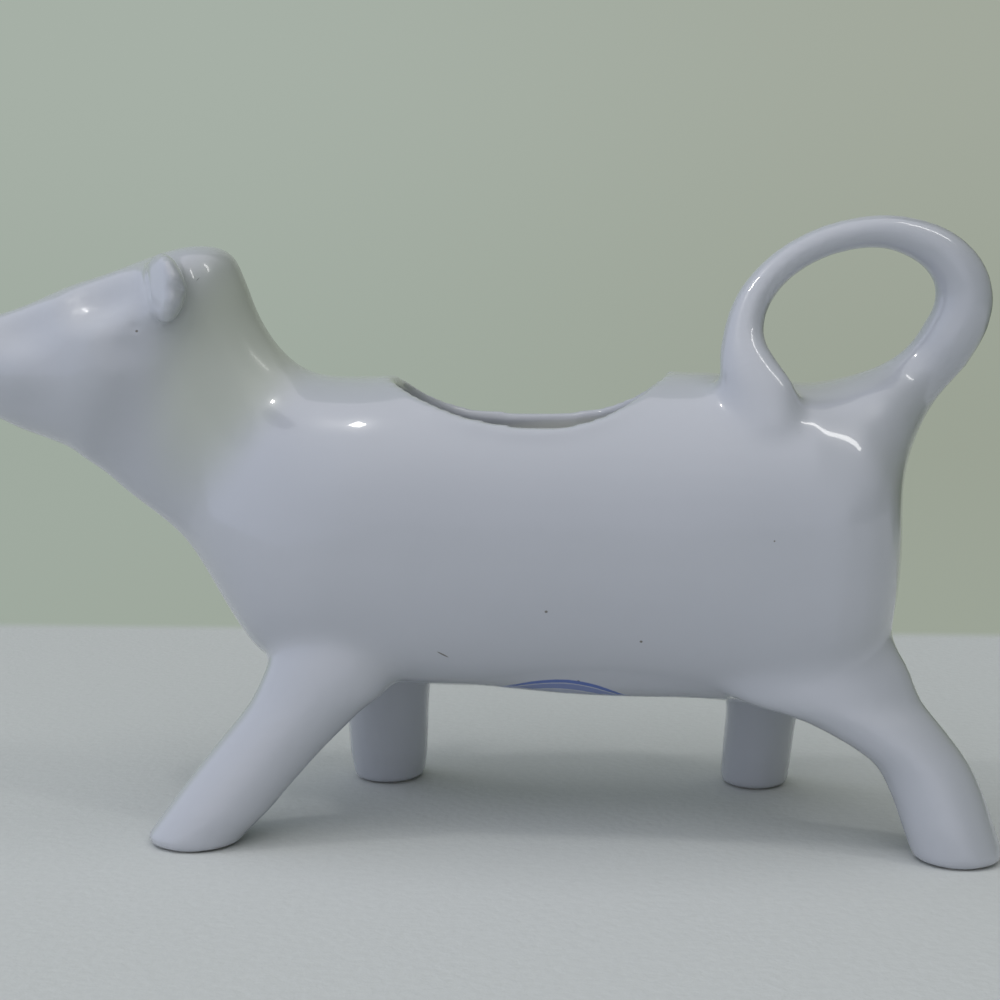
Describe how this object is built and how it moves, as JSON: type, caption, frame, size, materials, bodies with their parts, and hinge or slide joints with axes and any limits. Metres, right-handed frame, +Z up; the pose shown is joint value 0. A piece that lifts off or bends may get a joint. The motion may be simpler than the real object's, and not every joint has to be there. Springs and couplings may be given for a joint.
{
  "type": "cow creamer",
  "caption": "Glazed porcelain milk jug shaped as a walking cow: filled through a mouth in the back, poured from the muzzle, held by the looped tail.",
  "frame": {"origin": "on the ground, under the middle of the creamer's length and width", "axes": "+Z up, -X towards the muzzle, -Y towards the cow's left flank, on which the tail's tuft lies"},
  "size_m": [0.1716, 0.0526, 0.1004],
  "materials": {
    "white_glaze": "clear glossy glaze over white porcelain, soles wiped bare"
  },
  "bodies": {
    "root": {"barrel": "white_glaze", "neck": "white_glaze", "head": "white_glaze", "left_ear": "white_glaze", "right_ear": "white_glaze", "front_left_leg": "white_glaze", "front_right_leg": "white_glaze", "rear_left_leg": "white_glaze", "rear_right_leg": "white_glaze", "tail_handle": "white_glaze"}
  },
  "joints": []
}
